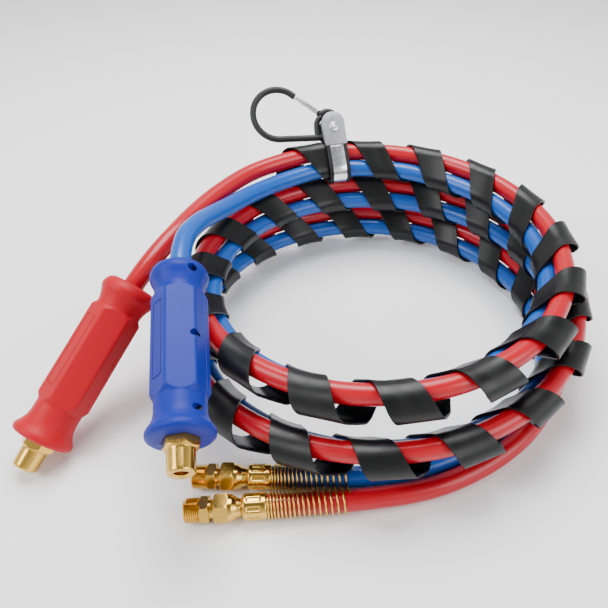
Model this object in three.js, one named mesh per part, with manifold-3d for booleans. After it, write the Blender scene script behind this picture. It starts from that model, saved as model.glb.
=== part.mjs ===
// Twin air-brake hose set for a truck and trailer: a red and a blue rubber hose coiled together
// inside a loose spiral wrap, with a moulded grip and a brass end on one end of each hose, a brass
// swivel fitting under a spring guard on the other, and a cushioned clamp with a snap hook to hang it.
// Millimetres, +Z up, standing on z = 0. The origin is under the middle of the hardware, hoses aside.
import * as THREE from 'three';
import { mergeVertices } from 'three/addons/utils/BufferGeometryUtils.js';
import Module from 'manifold-3d';

const wasm = await Module();
wasm.setup();

const gap = 0.3;                        // between pieces that touch
const hoseRadius = 19.05 / 2;           // 3/4 in outside
const pairHalf = 10;                    // hose centre to the middle of the pair
const pairLean = THREE.MathUtils.degToRad(48);
const coilCentre = new THREE.Vector3(181.14, 7.3, 0);

// The pair's middle every quarter turn, from the clamp clockwise to the floor.
const coilRadius = [189, 176, 175, 178, 186, 194, 202, 196, 193, 189, 204];
const coilHeight = [118, 109.5, 98, 87, 76, 67, 56, 43, 31.5, 22.5, 10];
const coilStart = -0.2;
const coilEnd = 9.2;
const pointsPerQuarter = 3;

const wrapThickness = 2;
const wrapSpan = 35;                    // how far one crossing of the strip reaches along the hoses
const wrapPitch = 70;
const wrapClearance = 2.15;
const wrapStart = -0.36;
const wrapEnd = 9.1;
const wrapFront = 0.02;                 // where it first crosses the side seen from the front
const wrapStepsPerTurn = 12;
// How far the wrap hangs away from the hoses every quarter turn.
const wrapSlack = [0, 10, 13, 2, 2, 3.5, 10.5, 11.5, 5.5, 3, 3];

// Grips: distances run from the middle of the upper flange down the grip's own axis.
const grip = {
  mouth: -8, upperFlange: 26.2, neck: 21.3, lowerFlange: 27.8,
  bodyStart: 22, bodyEnd: 120, bodyFlats: 43, lowerRim: 152, face: 156,
  bore: 10.4, ferruleStart: 119, ferruleRadius: 12, hoseEnd: 118.7,
  hexFlats: 26.5, hexThickness: 8, nippleLength: 20, nippleRadius: 11.9, nippleTip: 10.7, passage: 5.6,
  screwOffset: -17, screwAt: [4, 70, 136], screwSeat: 5,
};
const grips = {
  red: { top: [-240.5, -52, 105], end: [-310.4, -162.2, 26], screwSide: Math.PI },
  blue: { top: [-182.4, -71.8, 138.5], end: [-161, -216.3, 97.5], screwSide: 0 },
};

// Swivel ends: distances run from the thread's tip towards the hose.
const swivel = {
  height: 12, thread: 14, smallHex: 22, neck: 31, neckRadius: 7.9, nutStart: 26, nutEnd: 38, taperEnd: 46.7, bodyEnd: 48.2,
  ferruleStart: 48.5, ferruleEnd: 70.6, springEnd: 142.5, nutFlats: 24, smallHexFlats: 22,
  threadRadius: 10.6, bore: 4.6, stemRadius: 6, ferruleRadius: 11.5, wire: 1.5, springTurns: 9, springClear: 0.92,
};
const swivels = {
  red: { tip: [-170.6, -230.2], lean: 4.1 },
  blue: { tip: [-169.3, -195.6], lean: 0 },
};

// The clamp and its hook, in the clamp's own frame: x along the hoses, y up the pair, z to the front.
const clamp = {
  at: -0.15, inner: 5.05, cushion: 0.9, cushionWidth: 25, band: 0.8, bandWidth: 16,
  bolt: 35.4, boltRadius: 2, spacer: 2.75, earGap: 4.6, earTop: 8,
  cheekWidth: 26.5, cheekBottom: 14.5, cheekTop: 53.5, cheekCorner: 12, cheekFace: 17.6,
};
const hook = {
  rod: 3.8, turn: -4, gate: 3.2, pin: 1, spine: -7.5,
  eye: { side: 7.5, crown: 11.5, crownHeight: 12, corner: 8.4, hingeAngle: 134, bar: -17.6 },
  loop: { x: -63.3, radius: 29.4, noseAngle: -312 },
};

// ---------------------------------------------------------------- shapes

const colours = {
  red: 0xc9202b, blue: 0x1f63b5, grip_red: 0xd8232f, grip_blue: 0x2f3fae, wrap: 0x17181a,
  brass: 0xc9a24a, steel: 0xb9bcc0, rubber: 0x1b1b1c, zinc: 0x9a9ca0, hook: 0x26282a,
};
const finishes = {
  brass: [0.3, 1], steel: [0.25, 1], zinc: [0.45, 1], rubber: [0.8, 0], wrap: [0.6, 0], hook: [0.5, 0.2],
};
const part = new THREE.Group();
const base = new THREE.Group();
base.position.copy(coilCentre);
part.add(base);

function addMesh(name, geometry, finish, parent = base) {
  const [roughness, metalness] = finishes[finish] ?? [0.4, 0];
  const material = new THREE.MeshStandardMaterial({ color: colours[finish], roughness, metalness });
  const mesh = new THREE.Mesh(geometry, material);
  mesh.name = name;
  parent.add(mesh);
  return mesh;
}

function toSolid(geometry) {
  const plain = geometry.clone();
  plain.deleteAttribute('normal');
  plain.deleteAttribute('uv');
  const merged = mergeVertices(plain, 1e-4);
  return new wasm.Manifold(new wasm.Mesh({
    numProp: 3,
    vertProperties: new Float32Array(merged.attributes.position.array),
    triVerts: new Uint32Array(merged.index.array),
  }));
}

function toGeometry(solid) {
  const mesh = solid.getMesh();
  const geometry = new THREE.BufferGeometry();
  geometry.setAttribute('position', new THREE.BufferAttribute(new Float32Array(mesh.vertProperties), 3));
  geometry.setIndex(new THREE.BufferAttribute(new Uint32Array(mesh.triVerts), 1));
  geometry.computeVertexNormals();
  return geometry;
}

const cut = (geometry, ...tools) => toGeometry(tools.reduce((body, tool) => body.subtract(toSolid(tool)), toSolid(geometry)));
const join = (geometry, ...others) => toGeometry(others.reduce((body, other) => body.add(toSolid(other)), toSolid(geometry)));
const overlap = (geometry, other) => toGeometry(toSolid(geometry).intersect(toSolid(other)));

// A solid turned about z from [distance along z, radius] points.
function turned(points, sides = 24) {
  const profile = points.map(([along, radius]) => new THREE.Vector2(radius, along));
  const geometry = new THREE.LatheGeometry(profile, sides);
  geometry.rotateX(Math.PI / 2);
  const first = points[0][0];
  const last = points[points.length - 1][0];
  if (points[0][1] === 0 && first > last) throw new Error('turned profiles run upwards');
  return geometry;
}

// A rod or a tube from one distance to another along z.
function rod(from, to, radius, sides = 24) {
  return turned([[from, 0], [from, radius], [to, radius], [to, 0]], sides);
}
function pipe(from, to, inner, outer, sides = 24) {
  return turned([[from, inner], [from, outer], [to, outer], [to, inner], [from, inner]], sides);
}

// A hexagonal bar along z with a flat across +x.
function hexBar(from, to, flats) {
  return rod(from, to, flats / Math.sqrt(3), 6);
}

function box(width, depth, height, x, y, z) {
  return new THREE.BoxGeometry(width, depth, height).translate(x, y, z);
}

// ---------------------------------------------------------------- the coil

// A smooth curve through one value for every quarter turn.
function smooth(values, quarter) {
  const last = values.length - 1;
  const i = Math.min(Math.max(Math.floor(quarter), 0), last - 1);
  const t = quarter - i;
  const at = (k) => values[Math.min(Math.max(k, 0), last)];
  const before = i > 0 ? at(i - 1) : 2 * at(0) - at(1);
  const after = i + 2 <= last ? at(i + 2) : 2 * at(last) - at(last - 1);
  const [a, b] = [at(i), at(i + 1)];
  return a + 0.5 * t * (b - before + t * (2 * before - 5 * a + 4 * b - after + t * (3 * (a - b) + after - before)));
}

function frameAt(quarter) {
  const angle = (Math.PI / 2) * (1 - quarter);
  const out = new THREE.Vector3(Math.cos(angle), Math.sin(angle), 0);
  const along = new THREE.Vector3(Math.sin(angle), -Math.cos(angle), 0);
  const up = new THREE.Vector3(0, 0, 1);
  const centre = out.clone().multiplyScalar(smooth(coilRadius, quarter)).addScaledVector(up, smooth(coilHeight, quarter));
  // across runs from the blue hose to the red one; away points out of the coil and down
  const across = out.clone().multiplyScalar(Math.cos(pairLean)).addScaledVector(up, Math.sin(pairLean));
  const away = out.clone().multiplyScalar(Math.sin(pairLean)).addScaledVector(up, -Math.cos(pairLean));
  return { centre, along, across, away, out };
}

function coilPoints(side) {
  const points = [];
  const steps = Math.round((coilEnd - coilStart) * pointsPerQuarter);
  for (let i = 0; i <= steps; i += 1) {
    const { centre, across } = frameAt(coilStart + ((coilEnd - coilStart) * i) / steps);
    points.push(centre.clone().addScaledVector(across, side * pairHalf));
  }
  return points;
}

const vector = (list) => new THREE.Vector3(...list);

function gripLine(colour) {
  const top = vector(grips[colour].top);
  const axis = vector(grips[colour].end).sub(top).normalize();
  return (distance) => top.clone().addScaledVector(axis, distance);
}

function swivelLine(colour) {
  const { tip, lean } = swivels[colour];
  const angle = THREE.MathUtils.degToRad(lean);
  return (distance) => new THREE.Vector3(tip[0] + distance * Math.cos(angle), tip[1] + distance * Math.sin(angle), swivel.height);
}

// The free ends: from each grip to the clamp, and from the coil's last turn to the swivel fittings.
const freeEnds = {
  red: {
    side: 1,
    fromGrip: [[-220.4, -17.4, 122.2], [-206.5, 13, 127.5], [-190.5, 58, 127.5], [-170, 100, 127.5], [-141.5, 141, 127], [-104, 169.5, 127]],
    toSwivel: [[168, -106, 18.3], [140, -144.5, 12.7], [104, -175, 10.2], [63, -198, 9.7], [28, -210, 9.9]],
  },
  blue: {
    side: -1,
    fromGrip: [[-186, -17.5, 145.3], [-180.3, 15, 140.4], [-171.5, 45.5, 131.5], [-158.5, 77.5, 122.8], [-138.5, 113, 116.5], [-101, 151.5, 112.6]],
    toSwivel: [[150.6, -98.3, 9.9], [122, -132.3, 9.7], [87, -160.5, 9.7], [47, -180.5, 9.7], [14, -190, 10]],
  },
};

function hoseRoute(colour) {
  const { side, fromGrip, toSwivel } = freeEnds[colour];
  const inGrip = gripLine(colour);
  const inSwivel = swivelLine(colour);
  const starts = [grip.hoseEnd, 95, 70, 40, 15, -10].map(inGrip);
  const ends = [swivel.springEnd, 115, swivel.ferruleEnd + gap].map(inSwivel);
  return new THREE.CatmullRomCurve3(
    [...starts, ...fromGrip.map(vector), ...coilPoints(side), ...toSwivel.map(vector), ...ends], false, 'centripetal');
}

function circleShape(radius, sides) {
  const points = [];
  for (let i = 0; i < sides; i += 1) {
    const angle = (2 * Math.PI * i) / sides;
    points.push(new THREE.Vector2(radius * Math.cos(angle), radius * Math.sin(angle)));
  }
  return new THREE.Shape(points);
}

function sweep(curve, radius, sides, steps) {
  return new THREE.ExtrudeGeometry(circleShape(radius, sides), { steps, extrudePath: curve, bevelEnabled: false });
}

const routes = {};
for (const colour of ['red', 'blue']) {
  const route = hoseRoute(colour);
  route.arcLengthDivisions = 2000;
  routes[colour] = route;
  addMesh(`${colour}_hose`, sweep(route, hoseRadius, 8, 84), colour);
}

// ---------------------------------------------------------------- the spiral wrap

// Where a line round both hoses is after a share of its way round, from the middle of the front:
// how far across and away from the pair's middle, and how far its side faces away.
function aroundPair(share, clear) {
  const bend = Math.PI * clear;
  let run = (share - Math.floor(share)) * (4 * pairHalf + 2 * bend);
  const corner = (side, angle) => [side * pairHalf + clear * Math.cos(angle), clear * Math.sin(angle), Math.sin(angle)];
  if (run < pairHalf) return [run, -clear, -1];
  run -= pairHalf;
  if (run < bend) return corner(1, run / clear - Math.PI / 2);
  run -= bend;
  if (run < 2 * pairHalf) return [pairHalf - run, clear, 1];
  run -= 2 * pairHalf;
  if (run < bend) return corner(-1, run / clear + Math.PI / 2);
  return [run - bend - pairHalf, -clear, -1];
}

// A point of the strip's inner side, or of its outer side when raised by its thickness.
function wrapPoint(quarter, share, raised) {
  const { centre, across, away } = frameAt(quarter);
  const [x, y, facing] = aroundPair(share, hoseRadius + wrapClearance + raised);
  const slack = Math.max(smooth(wrapSlack, Math.max(quarter, 0)), 0);
  const spread = 1 + 0.012 * slack * (1 + facing);
  const hang = ((1 + facing) / 2) ** 1.6;
  return centre.clone().addScaledVector(across, x * spread).addScaledVector(away, y + slack * hang);
}

function wrapGeometry() {
  const positions = [];
  let rows = 0;
  let share = ((wrapFront - wrapStart) * (Math.PI / 2) * coilRadius[0]) / wrapPitch;
  for (let quarter = wrapStart; quarter < wrapEnd; rows += 1) {
    const perMillimetre = 2 / Math.PI / smooth(coilRadius, quarter);
    for (const [side, raised] of [[-1, 0], [1, 0], [1, wrapThickness], [-1, wrapThickness]]) {
      positions.push(...wrapPoint(quarter + (side * wrapSpan * perMillimetre) / 2, share, raised).toArray());
    }
    share -= 1 / wrapStepsPerTurn;
    quarter += (wrapPitch / wrapStepsPerTurn) * perMillimetre;
  }
  const index = [];
  const last = rows - 1;
  for (let i = 0; i < last; i += 1) {
    for (let k = 0; k < 4; k += 1) {
      const [a, b] = [i * 4 + k, i * 4 + ((k + 1) % 4)];
      index.push(a, b, b + 4, a, b + 4, a + 4);
    }
  }
  index.push(0, 2, 1, 0, 3, 2);
  const end = last * 4;
  index.push(end, end + 1, end + 2, end, end + 2, end + 3);
  const geometry = new THREE.BufferGeometry();
  geometry.setAttribute('position', new THREE.Float32BufferAttribute(positions, 3));
  geometry.setIndex(index);
  return facingOut(geometry);
}

// Turns every face round when the closed mesh is inside out.
function facingOut(geometry) {
  const position = geometry.attributes.position;
  const index = geometry.index.array;
  const [a, b, c] = [new THREE.Vector3(), new THREE.Vector3(), new THREE.Vector3()];
  let volume = 0;
  for (let i = 0; i < index.length; i += 3) {
    a.fromBufferAttribute(position, index[i]);
    b.fromBufferAttribute(position, index[i + 1]);
    c.fromBufferAttribute(position, index[i + 2]);
    volume += a.dot(b.cross(c));
  }
  if (volume < 0) {
    for (let i = 0; i < index.length; i += 3) [index[i], index[i + 1]] = [index[i + 1], index[i]];
  }
  geometry.computeVertexNormals();
  return geometry;
}

addMesh('spiral_wrap', wrapGeometry(), 'wrap');

// ---------------------------------------------------------------- grips

// A group whose z runs down the grip and whose x points along the screws, out of the upper shell.
function gripGroup(colour) {
  const at = gripLine(colour);
  const z = at(1).sub(at(0));
  const facing = new THREE.Vector3(0, -0.73, 0.683);
  const x = facing.addScaledVector(z, -facing.dot(z)).normalize();
  const y = z.clone().cross(x);
  const group = new THREE.Group();
  group.matrixAutoUpdate = false;
  group.matrix.makeBasis(x, y, z).setPosition(at(0));
  base.add(group);
  return group;
}

function gripBody() {
  const g = grip;
  const flare = [];
  for (let i = 0; i <= 3; i += 1) {
    const t = i / 3;
    flare.push([g.lowerRim - 18 + 15.5 * t, g.neck + (g.lowerFlange - g.neck) * t * t]);
  }
  const outline = [
    [g.mouth, 0], [g.mouth, 20.5], [g.mouth + 3, 24], [0, g.upperFlange], [4, 25.6],
    [9, 23.2], [16, g.neck], ...flare,
    [g.lowerRim + 1.5, g.lowerFlange], [g.face - 0.7, g.lowerFlange - 1.6], [g.face, g.lowerFlange - 4], [g.face, 0],
  ];
  const corner = g.bodyFlats / Math.sqrt(3);
  const chamfer = turned([
    [g.bodyStart - 3, 0], [g.bodyStart - 3, g.neck - 0.6], [g.bodyStart + 3, corner], [g.bodyEnd - 5, corner],
    [g.bodyEnd + 3, g.neck - 0.6], [g.bodyEnd + 3, 0]], 24);
  const hexagon = hexBar(g.bodyStart - 3, g.bodyEnd + 3, g.bodyFlats).rotateZ(THREE.MathUtils.degToRad(-18));
  return join(turned(outline, 24), overlap(hexagon, chamfer));
}

function gripShells(screwSide) {
  const g = grip;
  const hollow = [
    turned([[g.mouth - 1, 0], [g.mouth - 1, g.bore + 2.5], [g.mouth + 3, g.bore], [g.ferruleStart - gap, g.bore],
      [g.ferruleStart - gap, g.ferruleRadius + gap], [g.face - 9, g.ferruleRadius + gap], [g.face - 9, 0]], 16),
    hexBar(g.face - 9.01, g.face + 1, g.hexFlats + 2 * gap),
  ];
  for (const at of g.screwAt) {
    const hole = (radius, from, to) => rod(from, to, radius, 12).rotateY(Math.PI / 2).translate(0, g.screwOffset, at).rotateZ(screwSide);
    hollow.push(hole(1.6, -9.5, 40), hole(3.1, g.screwSeat, 40));
  }
  const body = cut(gripBody(), ...hollow);
  const half = (side) => box(60, 80, 200, side * (30 + gap / 2), 0, 80);
  return [overlap(body, half(1)), overlap(body, half(-1))];
}

function gripScrew() {
  const shank = rod(-8.5, grip.screwSeat + gap, 1.3, 10);
  const head = rod(grip.screwSeat + gap, grip.screwSeat + gap + 2.2, 2.7, 12);
  const slot = box(0.9, 8, 1.2, 0, 0, grip.screwSeat + gap + 2.2);
  return cut(join(shank, head), slot);
}

function brassEnd() {
  const g = grip;
  const hexEnd = g.face + g.hexThickness;
  const tip = hexEnd + g.nippleLength;
  const stem = rod(g.face - 36, g.face - 8, 6.4, 20);
  const hex = overlap(hexBar(g.face - 8.5, hexEnd, g.hexFlats), turned([
    [g.face - 8.5, 0], [g.face - 8.5, 17], [hexEnd - 1.6, 16], [hexEnd, 13.3], [hexEnd, 0]], 30));
  const nipple = turned([
    [hexEnd - 1, 0], [hexEnd - 1, g.nippleRadius], [tip - 1.2, g.nippleTip + 0.2], [tip, g.nippleTip - 1], [tip, 0]], 28);
  const passage = turned([
    [g.face - 40, 0], [g.face - 40, 4], [tip - 14, 4], [tip - 12, g.passage], [tip - 1.5, g.passage],
    [tip + 1, g.passage + 2.5], [tip + 1, 0]], 20);
  return cut(join(stem, hex, nipple), passage);
}

for (const colour of ['red', 'blue']) {
  const group = gripGroup(colour);
  const { screwSide } = grips[colour];
  const [frontShell, rearShell] = gripShells(screwSide);
  addMesh(`${colour}_grip_front_shell`, frontShell, `grip_${colour}`, group);
  addMesh(`${colour}_grip_rear_shell`, rearShell, `grip_${colour}`, group);
  addMesh(`${colour}_brass_end`, brassEnd(), 'brass', group);
  addMesh(`${colour}_grip_ferrule`, pipe(grip.ferruleStart, grip.face - 10, 6.4 + gap, grip.ferruleRadius, 20), 'brass', group);
  grip.screwAt.forEach((at, i) => {
    const screw = gripScrew().rotateY(Math.PI / 2).translate(0, grip.screwOffset, at).rotateZ(screwSide);
    addMesh(`${colour}_grip_screw_${i + 1}`, screw, 'steel', group);
  });
}

// ---------------------------------------------------------------- swivel ends

function threadedAdapter() {
  const s = swivel;
  const outline = [[0, 0], [0, s.threadRadius - 1.2], [0.8, s.threadRadius - 0.6]];
  const pitch = 3;
  for (let at = 1.2; at < s.thread - 1.5; at += pitch) {
    outline.push([at, s.threadRadius - 1], [at + pitch * 0.45, s.threadRadius]);
  }
  outline.push([s.thread - 0.8, s.threadRadius - 0.8], [s.thread + 1, s.threadRadius - 0.8], [s.thread + 1, 0]);
  const hex = overlap(hexBar(s.thread, s.smallHex, s.smallHexFlats), turned([
    [s.thread, 0], [s.thread, 11.2], [s.thread + 1.2, 12.6], [s.smallHex - 1.2, 12.6], [s.smallHex, 11.2], [s.smallHex, 0]], 24));
  const neck = rod(s.smallHex - 1, s.neck, s.neckRadius, 20);
  const passage = turned([[-1, 0], [-1, s.bore + 2.5], [1.5, s.bore], [s.neck + 1, s.bore], [s.neck + 1, 0]], 16);
  return cut(join(turned(outline, 16), hex, neck), passage);
}

function swivelBody() {
  const s = swivel;
  const hex = overlap(hexBar(s.nutStart, s.nutEnd, s.nutFlats), turned([
    [s.nutStart, 0], [s.nutStart, 12.2], [s.nutStart + 1.4, 13.8], [s.nutEnd - 1.4, 13.8], [s.nutEnd, 12.2], [s.nutEnd, 0]], 24));
  const taper = turned([
    [s.nutEnd - 1, 0], [s.nutEnd - 1, 11.7], [s.nutEnd + 3, 11.2], [s.taperEnd - 2, 8.6], [s.taperEnd, 8],
    [s.bodyEnd, 7.6], [s.bodyEnd, 0]], 24);
  const socket = rod(s.nutStart - 1, s.neck + gap, s.neckRadius + gap, 20);
  return cut(join(hex, taper), socket, rod(s.nutStart - 1, s.bodyEnd + 1, s.stemRadius + gap, 16));
}

function crimpFerrule() {
  const s = swivel;
  const outside = turned([
    [s.ferruleStart, 0], [s.ferruleStart, 8.6], [s.ferruleStart + 2.4, s.ferruleRadius], [s.ferruleEnd - 1, s.ferruleRadius],
    [s.ferruleEnd, s.ferruleRadius - 0.6], [s.ferruleEnd, 0]], 24);
  const flats = [];
  const length = 13;
  for (let i = 0; i < 8; i += 1) {
    flats.push(box(4, 6, length, s.ferruleRadius + 1.1, 0, s.ferruleStart + 10.5).rotateZ((Math.PI * i) / 4));
  }
  return cut(outside, ...flats, rod(s.ferruleStart - 1, s.ferruleEnd + 1, s.stemRadius + gap, 16));
}

class SpringCurve extends THREE.Curve {
  getPoint(t, target = new THREE.Vector3()) {
    const s = swivel;
    const start = s.ferruleEnd + 1.2;
    const run = s.springEnd - 0.8 - start;
    // the turns open out towards the hose
    const along = start + run * (0.62 * t + 0.38 * t * t);
    const radius = hoseRadius + s.springClear + s.wire / 2;
    const angle = 2 * Math.PI * s.springTurns * t;
    return target.set(radius * Math.cos(angle), radius * Math.sin(angle), along);
  }
}

for (const colour of ['red', 'blue']) {
  const at = swivelLine(colour);
  const z = at(1).sub(at(0));
  const x = new THREE.Vector3(0, 0, 1);
  const y = z.clone().cross(x);
  const group = new THREE.Group();
  group.matrixAutoUpdate = false;
  group.matrix.makeBasis(x, y, z).setPosition(at(0));
  base.add(group);
  addMesh(`${colour}_swivel_adapter`, threadedAdapter(), 'brass', group);
  addMesh(`${colour}_swivel_body`, swivelBody(), 'brass', group);
  addMesh(`${colour}_hose_stem`, pipe(swivel.neck + 2 * gap, swivel.ferruleEnd, swivel.bore, swivel.stemRadius, 16), 'brass', group);
  addMesh(`${colour}_crimp_ferrule`, crimpFerrule(), 'brass', group);
  addMesh(`${colour}_spring_guard`, sweep(new SpringCurve(), swivel.wire / 2, 4, swivel.springTurns * 10), 'brass', group);
}

// ---------------------------------------------------------------- clamp and snap hook

const clampFrame = frameAt(clamp.at);
const clampGroup = new THREE.Group();
clampGroup.matrixAutoUpdate = false;
clampGroup.matrix.makeBasis(clampFrame.along, clampFrame.across, clampFrame.away.clone().negate()).setPosition(clampFrame.centre);
base.add(clampGroup);

// A flat bar of stadium section round both hoses, as wide as it runs along them.
function stadium(radius, width) {
  const shape = new THREE.Shape();
  shape.absarc(0, pairHalf, radius, 0, Math.PI, false);
  shape.absarc(0, -pairHalf, radius, Math.PI, 2 * Math.PI, false);
  const bar = new THREE.ExtrudeGeometry(shape, { depth: width, bevelEnabled: false, curveSegments: 12 });
  return bar.translate(0, 0, -width / 2).rotateY(Math.PI / 2);
}

// A cheek's outline: straight sides and foot, rounded top.
function cheekShape() {
  const { cheekWidth: width, cheekTop: top, cheekCorner: radius, cheekBottom: bottom } = clamp;
  const shape = new THREE.Shape();
  shape.moveTo(-width / 2, bottom);
  shape.lineTo(width / 2, bottom);
  shape.lineTo(width / 2, top - radius);
  shape.absarc(width / 2 - radius, top - radius, radius, 0, Math.PI / 2, false);
  shape.absarc(-width / 2 + radius, top - radius, radius, Math.PI / 2, Math.PI, false);
  return shape;
}

function clampParts() {
  const c = clamp;
  const inner = hoseRadius + c.inner;
  const slit = box(60, 60, 2 * c.earGap, 0, 30, 0);
  const cushion = cut(stadium(inner + c.cushion, c.cushionWidth), stadium(inner, c.cushionWidth + 2), slit);
  const bandInner = inner + c.cushion + gap;
  const bandOuter = bandInner + c.band;
  const earTop = c.bolt + c.earTop;
  const ears = (sign) => box(c.bandWidth, earTop - pairHalf, c.band, 0, (earTop + pairHalf) / 2, sign * (c.earGap + c.band / 2));
  const boltHole = rod(-30, 30, c.boltRadius + gap, 14).translate(0, c.bolt, 0);
  const bent = cut(join(stadium(bandOuter, c.bandWidth), ears(1), ears(-1)), stadium(bandInner, c.bandWidth + 2));
  const band = cut(bent, slit, boltHole);
  const cheekStart = c.earGap + c.band + gap;
  const depth = c.cheekFace - cheekStart;
  const cheek = new THREE.ExtrudeGeometry(cheekShape(), { depth, bevelEnabled: false, curveSegments: 6 });
  const seat = stadium(bandOuter + gap, c.cheekWidth + 4);
  const frontCheek = cut(cheek.clone().translate(0, 0, cheekStart), boltHole, seat);
  const rearCheek = cut(cheek.clone().translate(0, 0, -c.cheekFace), boltHole, seat);
  const boltFront = c.cheekFace + gap;
  const nutSide = -c.cheekFace - gap;
  const shank = rod(nutSide - 6, boltFront + 0.5, c.boltRadius, 16);
  const head = overlap(hexBar(boltFront, boltFront + 3.4, 8), turned([
    [boltFront, 0], [boltFront, 5], [boltFront + 2.6, 4.8], [boltFront + 3.4, 3.8], [boltFront + 3.4, 0]], 20));
  const washer = pipe(nutSide - 1, nutSide, c.boltRadius + gap, 4.6, 18);
  const nut = cut(hexBar(nutSide - 4.6, nutSide - 1 - gap, 7), rod(-30, 30, c.boltRadius + gap, 14));
  const spacer = pipe(-c.earGap + gap, c.earGap - gap, c.boltRadius + gap, c.spacer, 18);
  const up = (geometry) => geometry.translate(0, c.bolt, 0);
  addMesh('clamp_cushion', cushion, 'rubber', clampGroup);
  addMesh('clamp_band', band, 'steel', clampGroup);
  addMesh('clamp_front_cheek', frontCheek, 'zinc', clampGroup);
  addMesh('clamp_rear_cheek', rearCheek, 'rubber', clampGroup);
  addMesh('clamp_bolt', up(join(shank, head)), 'steel', clampGroup);
  addMesh('clamp_washer', up(washer), 'steel', clampGroup);
  addMesh('clamp_nut', up(nut), 'steel', clampGroup);
  addMesh('clamp_spacer', up(spacer), 'steel', clampGroup);
}
clampParts();

const hookGroup = new THREE.Group();
hookGroup.position.set(0, clamp.bolt, 0);
hookGroup.rotation.z = THREE.MathUtils.degToRad(hook.turn);
clampGroup.add(hookGroup);

// The hook's rod: from the gate's hinge round the eye, along the spine and round the loop to the nose.
function hookPath() {
  const { eye, loop, spine } = hook;
  const path = new THREE.CurvePath();
  const at = (x, y) => new THREE.Vector3(x, y, 0);
  const degrees = THREE.MathUtils.degToRad;
  const arc = (x, y, radius, from, to) => {
    const flat = new THREE.EllipseCurve(x, y, radius, radius, degrees(from), degrees(to), true);
    return new THREE.CatmullRomCurve3(flat.getPoints(12).map((p) => at(p.x, p.y)));
  };
  const { side, crown, crownHeight, corner } = eye;
  path.add(arc(side - crown, crownHeight, crown, eye.hingeAngle, 0));
  path.add(new THREE.LineCurve3(at(side, crownHeight), at(side, spine + corner)));
  path.add(arc(side - corner, spine + corner, corner, 0, -90));
  path.add(new THREE.LineCurve3(at(side - corner, spine), at(loop.x, spine)));
  path.add(arc(loop.x, spine + loop.radius, loop.radius, -90, loop.noseAngle));
  return path;
}

// The bar that closes the eye, from the spine up to the gate's hinge.
function eyeBar() {
  const { eye, spine } = hook;
  const run = [[eye.bar, spine], [eye.bar, 9], [eye.bar + 2, 14], [eye.bar + 6.5, 17.6]];
  return new THREE.CatmullRomCurve3(run.map(([x, y]) => new THREE.Vector3(x, y, 0)));
}

function hookPoint(t) {
  return hookPath().getPoint(t);
}

const hinge = hookPoint(0);
const nose = hookPoint(1);

function gateFrame() {
  const x = nose.clone().sub(hinge).normalize();
  const y = new THREE.Vector3(0, 0, 1).cross(x);
  return new THREE.Matrix4().makeBasis(x, y, new THREE.Vector3(0, 0, 1)).setPosition(hinge);
}

function hookParts() {
  const frame = gateFrame();
  const length = nose.distanceTo(hinge);
  const place = (geometry) => geometry.applyMatrix4(frame);
  const alongX = (geometry) => geometry.rotateY(Math.PI / 2);
  const bodyRod = sweep(hookPath(), hook.rod, 8, 60);
  const pinAt = 1.5;
  const slot = place(box(14, 20, 3, pinAt + 3.4, 0, 0));
  const pinHole = place(rod(-6, 6, hook.pin + 0.15, 10).translate(pinAt, 0, 0));
  const lug = place(alongX(rod(-2, 4.5, hook.rod, 12)));
  const noseCut = place(box(12, 14, 14, length - 2.4 - 6, 0, 0));
  const noseEnd = place(alongX(rod(length - 2.4, length + 1.5, hook.rod, 12)));
  const body = cut(join(bodyRod, sweep(eyeBar(), hook.rod - 0.2, 8, 8), lug, noseEnd), slot, pinHole, noseCut);
  const barrel = alongX(rod(5.6, length - 2.4 - gap, hook.gate, 14));
  const tab = box(9, 3.6, 2.2, 3.8, 0, 0);
  const spring = new (class extends THREE.Curve {
    getPoint(t, target = new THREE.Vector3()) {
      const angle = 2 * Math.PI * 6 * t;
      return target.set(12 + 18 * t, 1.35 * Math.cos(angle), 1.35 * Math.sin(angle));
    }
  })();
  const well = alongX(rod(10, length, 2.1, 12));
  const plug = alongX(rod(length - 6, length - 2.4 - gap, 2.1, 12));
  const gate = cut(join(barrel, tab), well, rod(-6, 6, hook.pin + 0.15, 10).translate(pinAt, 0, 0));
  addMesh('carabiner_body', body, 'hook', hookGroup);
  addMesh('carabiner_gate', place(gate), 'steel', hookGroup);
  addMesh('carabiner_gate_plug', place(plug.scale(1, 0.8, 0.8)), 'steel', hookGroup);
  addMesh('carabiner_gate_spring', place(sweep(spring, 0.35, 4, 48)), 'steel', hookGroup);
  addMesh('carabiner_gate_pin', place(rod(-3.9, 3.9, hook.pin, 10).translate(pinAt, 0, 0)), 'steel', hookGroup);
}
hookParts();

part.updateMatrixWorld(true);
export default part;
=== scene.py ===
# Twin air-line hose set: a red and a blue hose coiled together in a spiral wrap, with grips,
# brass ends, swivel fittings under spring guards, and a cushioned clamp with a snap hook.
# Sizes in the dictionaries are millimetres; mm() turns them into the frame's metres.
import math

import bmesh
import bpy
import numpy as np
from mathutils import Matrix, Vector


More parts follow.
